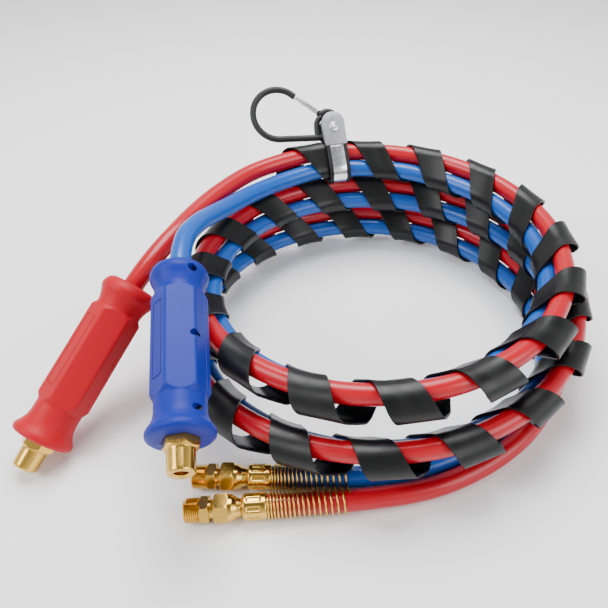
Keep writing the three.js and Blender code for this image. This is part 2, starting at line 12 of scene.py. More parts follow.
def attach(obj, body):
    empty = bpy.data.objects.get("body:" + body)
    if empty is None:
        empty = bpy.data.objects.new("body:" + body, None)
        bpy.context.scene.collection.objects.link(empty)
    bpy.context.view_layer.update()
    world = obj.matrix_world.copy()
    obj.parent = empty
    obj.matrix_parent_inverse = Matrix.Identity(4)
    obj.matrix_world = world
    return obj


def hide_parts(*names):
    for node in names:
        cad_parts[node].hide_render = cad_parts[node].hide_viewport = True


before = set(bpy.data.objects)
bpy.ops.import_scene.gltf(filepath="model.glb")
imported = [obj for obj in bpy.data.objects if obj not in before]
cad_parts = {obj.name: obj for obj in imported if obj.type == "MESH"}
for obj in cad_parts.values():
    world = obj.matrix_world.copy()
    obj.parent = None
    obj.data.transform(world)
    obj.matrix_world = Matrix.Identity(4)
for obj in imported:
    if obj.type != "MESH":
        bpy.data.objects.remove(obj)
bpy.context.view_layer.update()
print("frame loaded:", len(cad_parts), "nodes")

gap = 0.3
hoseRadius = 19.05 / 2
coilCentre = Vector((181.14, 7.3, 0))
up = Vector((0, 0, 1))


def mm(value):
    return value * 0.001


def addObject(name, data):
    thing = bpy.data.objects.new(name, data)
    bpy.context.scene.collection.objects.link(thing)
    return thing


# ------------------------------------------------ camera

view = {
    "from": (-32.5, -527.0, 492.6),  # from the coil's centre
    "downwards": 43.07,
    "lens": 37.87,
    "shift": (-0.0696, 0.0538),
}


def makeCamera():
    camera = addObject("viewCamera", bpy.data.cameras.new("viewCamera"))
    camera.location = (coilCentre + Vector(view["from"])) * 0.001
    camera.rotation_euler = (math.radians(90 - view["downwards"]), 0, 0)
    camera.data.lens = view["lens"]
    camera.data.shift_x, camera.data.shift_y = view["shift"]
    camera.data.clip_start = 0.01
    bpy.context.scene.camera = camera


makeCamera()

# ------------------------------------------------ the coil's own curve

coil = {
    "pairHalf": 10,
    "pairLean": math.radians(48),
    # every quarter turn, from the clamp clockwise to the floor
    "radius": [189, 176, 175, 178, 186, 194, 202, 196, 193, 189, 204],
    "height": [118, 109.5, 98, 87, 76, 67, 56, 43, 31.5, 22.5, 10],
    "start": -0.2,
    "end": 9.2,
    "pointsPerQuarter": 3,
}
grip = {
    "face": 156, "hoseEnd": 118.7, "bodyFlats": 43, "hexFlats": 26.5, "hexThickness": 8,
    "nippleLength": 20, "nippleTip": 10.7, "passage": 5.6, "inner": 147.6,
    "screwOffset": -17, "screwAt": [4, 70, 136], "screwSeat": 5, "wellRadius": 3.1,
    "red": {"top": (-240.5, -52, 105), "end": (-310.4, -162.2, 26), "screwSide": -1},
    "blue": {"top": (-182.4, -71.8, 138.5), "end": (-161, -216.3, 97.5), "screwSide": 1},
}
swivel = {
    "height": 12, "thread": 14, "smallHex": 22, "neck": 31, "neckRadius": 7.9,
    "nutStart": 26, "nutEnd": 38, "taperEnd": 46.7, "bodyEnd": 48.2,
    "ferruleStart": 48.5, "ferruleEnd": 70.6, "springEnd": 142.5,
    "nutFlats": 24, "smallHexFlats": 22, "bore": 4.6, "ferruleRadius": 11.5,
    "red": {"tip": (-170.6, -230.2), "lean": 4.1},
    "blue": {"tip": (-169.3, -195.6), "lean": 0},
}
# The free ends: from each grip to the clamp, and from the last turn to the fittings.
hose = {
    "sides": 28,
    "pointsPerSpan": 14,
    "red": {
        "side": 1,
        "fromGrip": [(-220.4, -17.4, 122.2), (-206.5, 13, 127.5), (-190.5, 58, 127.5),
                     (-170, 100, 127.5), (-141.5, 141, 127), (-104, 169.5, 127)],
        "toSwivel": [(168, -106, 18.3), (140, -144.5, 12.7), (104, -175, 10.2), (63, -198, 9.7),
                     (28, -210, 9.9)],
    },
    "blue": {
        "side": -1,
        "fromGrip": [(-186, -17.5, 145.3), (-180.3, 15, 140.4), (-171.5, 45.5, 131.5),
                     (-158.5, 77.5, 122.8), (-138.5, 113, 116.5), (-101, 151.5, 112.6)],
        "toSwivel": [(150.6, -98.3, 9.9), (122, -132.3, 9.7), (87, -160.5, 9.7), (47, -180.5, 9.7),
                     (14, -190, 10)],
    },
}


def smooth(values, quarter):
    last = len(values) - 1
    i = min(max(math.floor(quarter), 0), last - 1)
    t = quarter - i
    a, b = values[i], values[i + 1]
    before = values[i - 1] if i > 0 else 2 * a - b
    after = values[i + 2] if i + 2 <= last else 2 * b - a
    bend = 2 * before - 5 * a + 4 * b - after
    twist = 3 * (a - b) + after - before
    return a + 0.5 * t * (b - before + t * (bend + t * twist))


def frameAt(quarter):
    angle = math.pi / 2 * (1 - quarter)
    out = Vector((math.cos(angle), math.sin(angle), 0))
    along = Vector((math.sin(angle), -math.cos(angle), 0))
    centre = out * smooth(coil["radius"], quarter) + up * smooth(coil["height"], quarter)
    lean = coil["pairLean"]
    across = out * math.cos(lean) + up * math.sin(lean)
    away = out * math.sin(lean) - up * math.cos(lean)
    return centre, along, across, away


def coilPoints(side):
    span = coil["end"] - coil["start"]
    steps = round(span * coil["pointsPerQuarter"])
    places = [frameAt(coil["start"] + span * i / steps) for i in range(steps + 1)]
    return [centre + across * side * coil["pairHalf"] for centre, _, across, _ in places]


def gripLine(colour):
    top, end = Vector(grip[colour]["top"]), Vector(grip[colour]["end"])
    axis = (end - top).normalized()
    return lambda distance: top + axis * distance


def swivelLine(colour):
    tip, lean = Vector((*swivel[colour]["tip"], swivel["height"])), math.radians(swivel[colour]["lean"])
    axis = Vector((math.cos(lean), math.sin(lean), 0))
    return lambda distance: tip + axis * distance


def smoothPath(points, perSpan):
    points = [2 * points[0] - points[1], *points, 2 * points[-1] - points[-2]]
    path = []
    for p0, p1, p2, p3 in zip(points, points[1:], points[2:], points[3:]):
        d0, d1, d2 = [max((b - a).length, 1e-9) ** 0.5 for a, b in ((p0, p1), (p1, p2), (p2, p3))]
        t1 = ((p1 - p0) / d0 - (p2 - p0) / (d0 + d1) + (p2 - p1) / d1) * d1
        t2 = ((p2 - p1) / d1 - (p3 - p1) / (d1 + d2) + (p3 - p2) / d2) * d1
        for i in range(perSpan):
            t = i / perSpan
            bend, twist = 3 * (p2 - p1) - 2 * t1 - t2, 2 * (p1 - p2) + t1 + t2
            path.append(p1 + t1 * t + bend * t * t + twist * t ** 3)
    path.append(points[-2])
    return path


def hosePath(colour):
    facts = hose[colour]
    inGrip, inSwivel = gripLine(colour), swivelLine(colour)
    starts = [inGrip(d) for d in (grip["hoseEnd"], 95, 70, 40, 15, -10)]
    ends = [inSwivel(d) for d in (swivel["springEnd"], 115, swivel["ferruleEnd"] + gap)]
    route = [*starts, *map(Vector, facts["fromGrip"]), *coilPoints(facts["side"]),
             *map(Vector, facts["toSwivel"]), *ends]
    return [p + coilCentre for p in smoothPath(route, hose["pointsPerSpan"])]


# ------------------------------------------------ materials


# Adds a node; each input is given a value, or linked when it is a socket.
def addNode(tree, kind, inputs=(), **settings):
    node = tree.nodes.new(kind)
    for name, value in settings.items():
        setattr(node, name, value)
    for key, value in dict(inputs).items():
        if isinstance(value, bpy.types.NodeSocket):
            tree.links.new(value, node.inputs[key])
        else:
            node.inputs[key].default_value = value
    return node


def shaderGroup(name, inputs, outputs):
    group = bpy.data.node_groups.new(name, "ShaderNodeTree")
    for label, kind, value in inputs:
        socket = group.interface.new_socket(label, in_out="INPUT", socket_type=f"NodeSocket{kind}")
        socket.default_value = value
    for label, kind in outputs:
        group.interface.new_socket(label, in_out="OUTPUT", socket_type=f"NodeSocket{kind}")
    return group, group.nodes.new("NodeGroupInput").outputs, group.nodes.new("NodeGroupOutput")


# Noise over the surface: tone, roughness and a fine bump. Alike on every material but for its map.
def surfaceGroup(name, uvMap=None):
    group, given, end = shaderGroup(name, [
        ("Colour", "Color", (0.5, 0.5, 0.5, 1)), ("Shade", "Color", (0.3, 0.3, 0.3, 1)),
        ("Scale", "Vector", (100, 100, 100)), ("Smooth", "Float", 0.3),
        ("Rough", "Float", 0.5), ("Bump", "Float", 0.1)],
        [("Colour", "Color"), ("Roughness", "Float"), ("Normal", "Vector")])
    if uvMap:
        place = addNode(group, "ShaderNodeUVMap", uv_map=uvMap).outputs[0]
    else:
        place = addNode(group, "ShaderNodeTexCoord").outputs["Object"]
    scaled = addNode(group, "ShaderNodeVectorMath", {0: place, 1: given["Scale"]}, operation="MULTIPLY")
    noise = addNode(group, "ShaderNodeTexNoise", {"Scale": 1.0, "Detail": 4.0, "Vector": scaled.outputs[0]})
    sharper = {"From Min": 0.36, "From Max": 0.64, "Value": noise.outputs[0]}
    mask = addNode(group, "ShaderNodeMapRange", sharper).outputs[0]
    mixed = {"Factor": mask, 6: given["Colour"], 7: given["Shade"]}
    tone = addNode(group, "ShaderNodeMix", mixed, data_type="RGBA")
    shine = addNode(group, "ShaderNodeMapRange", {
        "Value": mask, "To Min": given["Smooth"], "To Max": given["Rough"]})
    relief = addNode(group, "ShaderNodeBump", {"Distance": 0.0004, "Strength": given["Bump"], "Height": mask})
    group.links.new(tone.outputs[2], end.inputs["Colour"])
    group.links.new(shine.outputs[0], end.inputs["Roughness"])
    group.links.new(relief.outputs[0], end.inputs["Normal"])
    return group


# What the shader group is given; "metal", "coat" and "gloss" are set on the surface itself.
rubber = {"scale": (2.5, 34, 1), "smooth": 0.26, "rough": 0.34, "bump": 0.05, "map": "run", "coat": 0.1,
          "gloss": 0.32}
moulded = {"scale": (1100, 1100, 1100), "smooth": 0.42, "rough": 0.52, "bump": 0.04, "gloss": 0.2}
finishes = {
    "red_rubber": {"colour": (0.47, 0.002, 0.012), "shade": (0.38, 0.002, 0.010), **rubber},
    "blue_rubber": {"colour": (0.003, 0.085, 0.40), "shade": (0.002, 0.065, 0.32), **rubber},
    "wrap_plastic": {"colour": (0.0035, 0.0036, 0.0037), "shade": (0.005, 0.0051, 0.0053), "scale": (9, 3, 1),
                     "smooth": 0.32, "rough": 0.42, "bump": 0.02, "map": "run", "gloss": 0.3},
    "red_grip": {"colour": (0.46, 0.002, 0.012), "shade": (0.42, 0.002, 0.010), **moulded},
    "blue_grip": {"colour": (0.006, 0.018, 0.26), "shade": (0.005, 0.016, 0.24), **moulded},
    "brass": {"colour": (0.73, 0.45, 0.09), "shade": (0.68, 0.41, 0.08), "scale": (420, 420, 1600),
              "smooth": 0.2, "rough": 0.25, "bump": 0.006, "metal": 1.0},
    "dark_steel": {"colour": (0.10, 0.10, 0.105), "shade": (0.05, 0.05, 0.052), "scale": [600] * 3,
                   "smooth": 0.3, "rough": 0.45, "bump": 0.03, "metal": 1.0},
    "bright_steel": {"colour": (0.82, 0.82, 0.83), "shade": (0.76, 0.76, 0.77), "scale": (1400, 260, 260),
                     "smooth": 0.2, "rough": 0.28, "bump": 0.006, "metal": 1.0},
    "cushion_rubber": {"colour": (0.007, 0.007, 0.0075), "shade": (0.01, 0.01, 0.011), "scale": [700] * 3,
                       "smooth": 0.5, "rough": 0.68, "bump": 0.06, "gloss": 0.3},
    "zinc": {"colour": (0.40, 0.40, 0.42), "shade": (0.30, 0.30, 0.32), "scale": [1000] * 3,
             "smooth": 0.42, "rough": 0.55, "bump": 0.08, "metal": 0.75},
    "black_zinc": {"colour": (0.012, 0.012, 0.013), "shade": (0.018, 0.018, 0.019), "scale": [900] * 3,
                   "smooth": 0.42, "rough": 0.55, "bump": 0.08, "gloss": 0.35},
    "hook_black": {"colour": (0.008, 0.008, 0.0085), "shade": (0.013, 0.013, 0.014), "scale": [1300] * 3,
                   "smooth": 0.4, "rough": 0.52, "bump": 0.12, "gloss": 0.35},
}
surfaces = {None: surfaceGroup("grainedSurface"), "run": surfaceGroup("drawnSurface", "run")}


def makeMaterial(name, facts):
    material = bpy.data.materials.new(name)
    material.use_nodes = True
    nodes, link = material.node_tree.nodes, material.node_tree.links.new
    shader = nodes["Principled BSDF"]
    shader.inputs["Metallic"].default_value = facts.get("metal", 0.0)
    shader.inputs["Coat Weight"].default_value = facts.get("coat", 0.0)
    shader.inputs["Coat Roughness"].default_value = 0.12
    shader.inputs["Specular IOR Level"].default_value = facts.get("gloss", 0.5)
    effect = nodes.new("ShaderNodeGroup")
    effect.node_tree = surfaces[facts.get("map")]
    for label in ("Colour", "Shade"):
        effect.inputs[label].default_value = (*facts[label.lower()], 1)
    for label in ("Scale", "Smooth", "Rough", "Bump"):
        effect.inputs[label].default_value = facts[label.lower()]
    link(effect.outputs["Colour"], shader.inputs["Base Color"])
    link(effect.outputs["Roughness"], shader.inputs["Roughness"])
    link(effect.outputs["Normal"], shader.inputs["Normal"])
    return material


materials = {name: makeMaterial(name, facts) for name, facts in finishes.items()}
print("materials made")


# ------------------------------------------------ mesh helpers


# Joins points closer than a distance in metres, turns the faces outward and shades the mesh.
def joinPoints(mesh, distance, crease, dissolve=False):
    work = bmesh.new()
    work.from_mesh(mesh)
    bmesh.ops.remove_doubles(work, verts=work.verts, dist=distance)
    if dissolve:
        bmesh.ops.dissolve_degenerate(work, edges=work.edges, dist=1e-8)
    bmesh.ops.recalc_face_normals(work, faces=work.faces)
    work.to_mesh(mesh)
    work.free()
    shade(mesh, crease)


def shade(mesh, crease):
    mesh.shade_smooth()
    mesh.set_sharp_from_angle(angle=math.radians(crease))


def finishMesh(name, points, faces, body, slot, stands=(), crease=32):
    mesh = bpy.data.meshes.new(name)
    mesh.from_pydata([tuple(Vector(p) * 0.001) for p in points], [], faces)
    joinPoints(mesh, 1e-7, crease, True)
    return settle(addObject(name, mesh), body, slot, stands)


def settle(piece, body, slot, stands=()):
    if body:
        if not piece.data.materials:
            piece.data.materials.append(materials[slot])
        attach(piece, body)
        if stands:
            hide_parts(*stands)
    return piece


def loft(rings, closedLong=False):
    points = [p for ring in rings for p in ring]
    count, last = len(rings[0]), len(rings)
    faces = []
    for i in range(last if closedLong else last - 1):
        for j in range(count):
            after, beside = (i + 1) % last * count, (j + 1) % count
            faces.append((i * count + j, i * count + beside, after + beside, after + j))
    return points, faces


# Rings lofted and closed by a face at each end.
def closedLoft(rings):
    points, faces = loft(rings)
    count = len(rings[0])
    faces.append(tuple(range(count))[::-1])
    faces.append(tuple(len(points) - count + k for k in range(count)))
    return points, faces


def sweepTube(path, radius, sides):
    normal = path[1] - path[0]
    normal = normal.normalized().orthogonal().normalized()
    turns = [2 * math.pi * k / sides for k in range(sides)]
    rings = []
    for i, place in enumerate(path):
        tangent = (path[min(i + 1, len(path) - 1)] - path[max(i - 1, 0)]).normalized()
        normal = (normal - tangent * normal.dot(tangent)).normalized()
        side = tangent.cross(normal)
        rings.append([place + (normal * math.cos(a) + side * math.sin(a)) * radius for a in turns])
    return closedLoft(rings)


# A bar turned about z from (distance, radius) points, outside then bore, with optional flats:
# flats gives the number of flats, their width across, their angle and where they start and end.
def turnedBar(profile, place, sides=72, flats=()):
    rings = []
    for along, radius in profile:
        ring = []
        for k in range(sides):
            angle = 2 * math.pi * k / sides
            reach = radius
            for count, across, turn, start, end in flats:
                if start <= along <= end and radius > across * 0.42:
                    share = (angle - turn + math.pi / count) % (2 * math.pi / count) - math.pi / count
                    reach = min(reach, across / 2 / math.cos(share))
            ring.append(place @ Vector((reach * math.cos(angle), reach * math.sin(angle), along)))
        rings.append(ring)
    return loft(rings[:-1], closedLong=True) if profile[0] == profile[-1] else closedLoft(rings)


def rounded(points, reach=0.6, steps=3):
    result = []
    last = len(points) - 1
    for i, point in enumerate(points):
        before, after = points[i - 1] if i else None, points[i + 1] if i < last else None
        if before is None or after is None:
            result.append(point)
            continue
        p, a, b = Vector(point), Vector(before), Vector(after)
        cut = min(reach, (a - p).length * 0.45, (b - p).length * 0.45)
        if cut < 1e-6:
            result.append(point)
            continue
        one, two = p + (a - p).normalized() * cut, p + (b - p).normalized() * cut
        for k in range(steps + 1):
            t = k / steps
            result.append(tuple(one * (1 - t) ** 2 + p * 2 * t * (1 - t) + two * t * t))
    return result


# The piece's mesh with its modifiers in it.
def applied(piece):
    bpy.context.view_layer.update()
    depth = bpy.context.evaluated_depsgraph_get()
    mesh = bpy.data.meshes.new_from_object(piece.evaluated_get(depth))
    piece.modifiers.clear()
    return mesh


def cutAway(piece, cutters, joined=()):
    for cutter in [*joined, *cutters]:
        tool = piece.modifiers.new("cut", "BOOLEAN")
        tool.operation = "UNION" if cutter in joined else "DIFFERENCE"
        tool.solver = "EXACT"
        tool.object = cutter
    mesh = applied(piece)
    piece.data = mesh
    for cutter in [*joined, *cutters]:
        bpy.data.objects.remove(cutter)
    shade(mesh, 28)
    return piece


def looseMesh(name, points, faces):
    return finishMesh(name, points, faces, None, None)


def boxShape(low, high, place):
    corners = [(x, y, z) for x in (low[0], high[0]) for y in (low[1], high[1]) for z in (low[2], high[2])]
    points = [place @ Vector(corner) for corner in corners]
    return points, [(0, 1, 3, 2), (4, 6, 7, 5), (0, 4, 5, 1), (2, 3, 7, 6), (0, 2, 6, 4), (1, 5, 7, 3)]


def placeMatrix(origin, x, y, z):
    matrix = Matrix((x, y, z)).transposed().to_4x4()
    matrix.translation = origin
    return matrix


def gripPlace(colour):
    line = gripLine(colour)
    z = line(1) - line(0)
    facing = Vector((0, -0.73, 0.683))
    x = (facing - z * facing.dot(z)).normalized()
    return placeMatrix(line(0) + coilCentre, x, z.cross(x), z)


def swivelPlace(colour):
    line = swivelLine(colour)
    z = line(1) - line(0)
    return placeMatrix(line(0) + coilCentre, up, z.cross(up), z)


# ------------------------------------------------ hoses, the free cords

root = "hose_set"


def addRunMap(piece, path, sides):
    mesh = piece.data
    lengths = [0.0]
    for a, b in zip(path, path[1:]):
        lengths.append(lengths[-1] + (b - a).length * 0.001)
    layer = mesh.uv_layers.new(name="run")
    for face in mesh.polygons:
        places = [mesh.loops[i].vertex_index for i in face.loop_indices]
        turns = [place % sides / sides for place in places]
        wide = max(turns) - min(turns) > 0.5 and len(places) == 4
        for loop, place, turn in zip(face.loop_indices, places, turns):
            layer.data[loop].uv = (lengths[min(place // sides, len(path) - 1)], turn + (wide and turn < 0.5))


def makeHose(colour):
    path = hosePath(colour)
    points, faces = sweepTube(path, hoseRadius, hose["sides"])
    piece = finishMesh(f"{colour}HoseTube", points, faces, root, f"{colour}_rubber", [f"{colour}_hose"], 60)
    addRunMap(piece, path, hose["sides"])
    mouth = (gripLine(colour)(grip["hoseEnd"]) + coilCentre) * 0.001
    return piece


# ------------------------------------------------ the spiral wrap

wrap = {
    "thickness": 1.8,
    "span": 35,
    "pitch": 70,
    "clearance": 0.6,
    "start": -0.36,
    "end": 9.1,
    "front": 0.02,
    "stepsPerTurn": 54,
    "across": 6,
    "curl": 0.9,
    "uneven": 0.2,
    # how far it hangs away from the hoses every quarter turn
    "slack": [0, 10, 13, 2, 2, 3.5, 10.5, 11.5, 5.5, 3, 3],
}


def aroundPair(share, clear):
    half, bend = coil["pairHalf"], math.pi * clear
    run = (share % 1) * (4 * half + 2 * bend)
    if run < half:
        return run, -clear, -1
    run -= half
    if run < bend:
        angle = run / clear - math.pi / 2
        return half + clear * math.cos(angle), clear * math.sin(angle), math.sin(angle)
    run -= bend
    if run < 2 * half:
        return half - run, clear, 1
    run -= 2 * half
    if run < bend:
        angle = run / clear + math.pi / 2
        return -half + clear * math.cos(angle), clear * math.sin(angle), math.sin(angle)
    return run - bend - half, -clear, -1


def wrapPoint(quarter, share, raised, slackShare):
    centre, _, across, away = frameAt(quarter)
    x, y, facing = aroundPair(share, hoseRadius + wrap["clearance"] + raised)
    slack = max(smooth(wrap["slack"], max(quarter, 0)), 0)
    hang = ((1 + facing) / 2) ** 1.6 * slackShare
    return centre + across * x * (1 + 0.012 * slack * (1 + facing)) + away * (y + slack * hang) + coilCentre


def wrapSection():
    half, thick = wrap["across"], wrap["thickness"]
    low = [(k / half * 2 - 1, 0) for k in range(half + 1)]
    high = [(x, thick) for x, _ in reversed(low)]
    trim = 1 - 0.8 / wrap["span"]
    low[0], low[-1], high[0], high[-1] = (-trim, 0), (trim, 0), (trim, thick), (-trim, thick)
    return [*low, (1, thick * 0.3), (1, thick * 0.7), *high, (-1, thick * 0.7), (-1, thick * 0.3)]


def makeWrap():
    section = wrapSection()
    rings, run = [], []
    quarter = wrap["start"]
    share = (wrap["front"] - wrap["start"]) * math.pi / 2 * coil["radius"][0] / wrap["pitch"]
    while quarter < wrap["end"]:
        perMillimetre = 2 / math.pi / smooth(coil["radius"], quarter)
        loose = 1 - wrap["uneven"] * (0.5 + 0.5 * math.sin(share * 2.4 + math.sin(share * 1.1)))
        ring = []
        for side, raised in section:
            lift = raised + wrap["curl"] * side * side
            ring.append(wrapPoint(quarter + side * wrap["span"] * perMillimetre / 2, share, lift, loose))
        rings.append(ring)
        run.append(share)
        share -= 1 / wrap["stepsPerTurn"]
        quarter += wrap["pitch"] / wrap["stepsPerTurn"] * perMillimetre
    sides = len(section)
    piece = finishMesh("spiralWrapStrip", *closedLoft(rings), root, "wrap_plastic", ["spiral_wrap"], 50)
    layer = piece.data.uv_layers.new(name="run")
    for face in piece.data.polygons:
        for loop in face.loop_indices:
            place = piece.data.loops[loop].vertex_index
            layer.data[loop].uv = (abs(run[min(place // sides, len(run) - 1)] - run[0]) * 0.14,
                                   (section[place % sides][0] + 1) / 2)
    return piece


wrapStrip = makeWrap()
makeHose("red")
makeHose("blue")
print("cords made")

# ------------------------------------------------ Geometry Nodes pieces


def nodeTree(name, inputs):
    tree = bpy.data.node_groups.new(name, "GeometryNodeTree")
    tree.interface.new_socket("Geometry", in_out="INPUT", socket_type="NodeSocketGeometry")
    tree.interface.new_socket("Geometry", in_out="OUTPUT", socket_type="NodeSocketGeometry")
    for label, kind, value in inputs:
        socket = tree.interface.new_socket(label, in_out="INPUT", socket_type=f"NodeSocket{kind}")
        if value is not None:
            socket.default_value = value
    return tree, tree.nodes.new("NodeGroupInput").outputs, tree.nodes.new("NodeGroupOutput")


def mathNode(tree, operation, a, b=None):
    inputs = {0: a} if b is None else {0: a, 1: b}
    return addNode(tree, "ShaderNodeMath", inputs, operation=operation).outputs[0]


def closeTree(tree, geometry, material, end):
    real = addNode(tree, "GeometryNodeRealizeInstances", {0: geometry})
    painted = addNode(tree, "GeometryNodeSetMaterial", {"Geometry": real.outputs[0], "Material": material})
    tree.links.new(painted.outputs[0], end.inputs[0])
    return tree


# A wire wound about z; the turns open out along it by the growth.
def coiledWireTree():
    tree, value, end = nodeTree("coiledWire", [
        ("Turns", "Float", 10.0), ("Start", "Float", 0.0), ("Length", "Float", 0.07), ("Growth", "Float", 0.4),
        ("Radius", "Float", 0.011), ("End Radius", "Float", 0.011), ("Wire", "Float", 0.0008),
        ("Steps", "Int", 400), ("Sides", "Int", 10), ("Material", "Material", None)])
    line = addNode(tree, "GeometryNodeCurvePrimitiveLine")
    spaced = addNode(tree, "GeometryNodeResampleCurve", {"Curve": line.outputs[0], "Count": value["Steps"]})
    share = addNode(tree, "GeometryNodeSplineParameter").outputs["Factor"]
    angle = mathNode(tree, "MULTIPLY", mathNode(tree, "MULTIPLY", share, value["Turns"]), 2 * math.pi)
    slow = mathNode(tree, "MULTIPLY", share, mathNode(tree, "SUBTRACT", 1.0, value["Growth"]))
    fast = mathNode(tree, "MULTIPLY", mathNode(tree, "POWER", share, 2.0), value["Growth"])
    rise = mathNode(tree, "MULTIPLY", mathNode(tree, "ADD", slow, fast), value["Length"])
    widen = mathNode(tree, "SUBTRACT", value["End Radius"], value["Radius"])
    reach = mathNode(tree, "ADD", mathNode(tree, "MULTIPLY", widen, share), value["Radius"])
    place = addNode(tree, "ShaderNodeCombineXYZ", {
        0: mathNode(tree, "MULTIPLY", mathNode(tree, "COSINE", angle), reach),
        1: mathNode(tree, "MULTIPLY", mathNode(tree, "SINE", angle), reach),
        2: mathNode(tree, "ADD", rise, value["Start"])})
    wound = addNode(tree, "GeometryNodeSetPosition", {
        "Geometry": spaced.outputs[0], "Position": place.outputs[0]})
    upright = addNode(tree, "GeometryNodeSetCurveNormal", {"Curve": wound.outputs[0]}, mode="Z_UP")
    ring = addNode(tree, "GeometryNodeCurvePrimitiveCircle", {
        "Radius": value["Wire"], "Resolution": value["Sides"]})
    solid = addNode(tree, "GeometryNodeCurveToMesh", {
        "Curve": upright.outputs[0], "Profile Curve": ring.outputs[0], "Fill Caps": True})
    return closeTree(tree, solid.outputs[0], value["Material"], end)


# Screws at even steps along z, their heads facing x, each with a slot.
def screwRowTree():
    tree, value, end = nodeTree("screwRow", [
        ("Count", "Int", 3), ("First", "Vector", (0, 0, 0)),
        ("Step", "Vector", (0, 0, 0.066)), ("Head Radius", "Float", 0.0027),
        ("Head Height", "Float", 0.0024), ("Slot Width", "Float", 0.0009),
        ("Material", "Material", None)])
    head = addNode(tree, "GeometryNodeMeshCylinder", {
        "Vertices": 32, "Radius": value["Head Radius"], "Depth": value["Head Height"]})
    raised = addNode(tree, "GeometryNodeTransform", {
        "Geometry": head.outputs[0], "Rotation": (0, math.pi / 2, 0)})
    slotDepth, slotLength = 0.0016, 0.02
    size = addNode(tree, "ShaderNodeCombineXYZ", {0: slotDepth, 1: value["Slot Width"], 2: slotLength})
    groove = addNode(tree, "GeometryNodeMeshCube", {"Size": size.outputs[0]})
    shift = addNode(tree, "ShaderNodeCombineXYZ", {0: mathNode(tree, "MULTIPLY", value["Head Height"], 0.5)})
    moved = addNode(tree, "GeometryNodeTransform", {
        "Geometry": groove.outputs[0], "Translation": shift.outputs[0]})
    slotted = addNode(tree, "GeometryNodeMeshBoolean", {
        "Mesh 1": raised.outputs[0], "Mesh 2": moved.outputs[0]}, operation="DIFFERENCE")
    row = addNode(tree, "GeometryNodeMeshLine", {
        "Count": value["Count"], "Start Location": value["First"], "Offset": value["Step"]})
    placed = addNode(tree, "GeometryNodeInstanceOnPoints", {
        "Points": row.outputs[0], "Instance": slotted.outputs[0]})
    return closeTree(tree, placed.outputs[0], value["Material"], end)


def growPiece(tree, name, values, place, body, slot, stands=(), crease=40):
    seed = addObject(name, bpy.data.meshes.new(name))
    modifier = seed.modifiers.new("grow", "NODES")
    modifier.node_group = tree
    for item in tree.interface.items_tree:
        if item.in_out == "INPUT" and item.name in values:
            modifier[item.identifier] = values[item.name]
    mesh = applied(seed)
    inMetres = place.copy()
    inMetres.translation = place.translation * 0.001
    mesh.transform(inMetres)
    joinPoints(mesh, 1e-8, crease)
    seed.data = mesh
    return settle(seed, body, slot, stands)


# ------------------------------------------------ grips, brass ends and screws

# Distances run down the grip. The body is a hexagon, between two round flanges.
shell = {
    "outline": [(-8, 20.5), (-5.4, 24), (0, 26.2), (4, 25.6), (9, 23.2), (16, 21.3), (134, 21.3),
                (139.2, 22.1), (144.3, 24.2), (149.5, 27.8), (153.5, 27.8), (155.3, 26.2), (156, 23.8)],
    "chamfer": [(18.9, 0), (19, 20.7), (25, 25.2), (115, 25.2), (123, 20.7), (123.1, 0)],
    "bore": [(-8, 12.6), (-5, 10.4), (118.7, 10.4), (118.8, 12.3), (147, 12.3), (147.1, 99), (157, 99)],
    # where the profiles above turn sharply, so that a ring stands there
    "levels": [-7.9, 19.0, 25.0, 118.7, 118.8, 147.0, 147.1, 155.9, 156.0],
    "hexTurn": math.radians(-18),
    "cornerRound": 3.2,
    "seam": 0.45,
    "panel": {"from": 33, "to": 106, "width": 13.5, "line": 0.8, "depth": 0.7, "facing": math.radians(42)},
}


def valueAt(line, place):
    return float(np.interp(place, [p[0] for p in line], [p[1] for p in line]))


def hexReach(angle, turn, flats, corner):
    share = abs((angle - turn + math.pi / 6) % (math.pi / 3) - math.pi / 6)
    apothem = flats / 2
    if math.tan(share) * apothem <= (apothem - corner) * math.tan(math.pi / 6):
        return apothem / math.cos(share)
    centre, off = (apothem - corner) / math.cos(math.pi / 6), math.pi / 6 - share
    return centre * math.cos(off) + math.sqrt(corner ** 2 - (centre * math.sin(off)) ** 2)


def makeShell(colour, side):
    place = gripPlace(colour)
    outline = rounded(shell["outline"], 1.6, 4)
    heights = sorted({*np.arange(-8, 27, 0.9), *np.arange(30, 112, 6.0), *np.arange(113, 156, 0.9),
                      *shell["levels"]})
    turns = [math.radians(a) for a in (-90, -89, -88, *range(-86, 87, 2), 88, 89, 90)]
    rings = []
    for height in heights:
        outer, inner = [], []
        for i, turn in enumerate(turns):
            angle = turn if side > 0 else turn + math.pi
            hexed = min(hexReach(angle, shell["hexTurn"], grip["bodyFlats"], shell["cornerRound"]),
                        valueAt(shell["chamfer"], height))
            seam = shell["seam"] if i in (0, len(turns) - 1) else 0
            reach = max(valueAt(outline, height), hexed) - seam
            hexHole = hexReach(angle, 0, grip["hexFlats"] + 2 * gap, 0.5)
            hollow = min(valueAt(shell["bore"], height), hexHole)
            for reached, ring in ((reach, outer), (hollow, inner)):
                x = max(abs(reached * math.cos(angle)), gap / 2) * side
                ring.append(place @ Vector((x, reached * math.sin(angle), height)))
        rings.append([*outer, *inner[::-1]])
    points, faces = loft(rings)
    count, last = len(turns), len(points) - 2 * len(turns)
    for start in (0, last):
        far = start + 2 * count - 1
        faces += [(start + j, start + j + 1, far - 1 - j, far - j) for j in range(count - 1)]
    name = "front" if side > 0 else "rear"
    piece = looseMesh(f"{colour}Grip{name.title()}", points, faces)
    cutters = screwCutters(screwPlace(colour)) if side == grip[colour]["screwSide"] else []
    if side > 0:
        cutters.append(panelCutter(place))
    cutAway(piece, cutters)
    return settle(piece, root, f"{colour}_grip", [f"{colour}_grip_{name}_shell"])


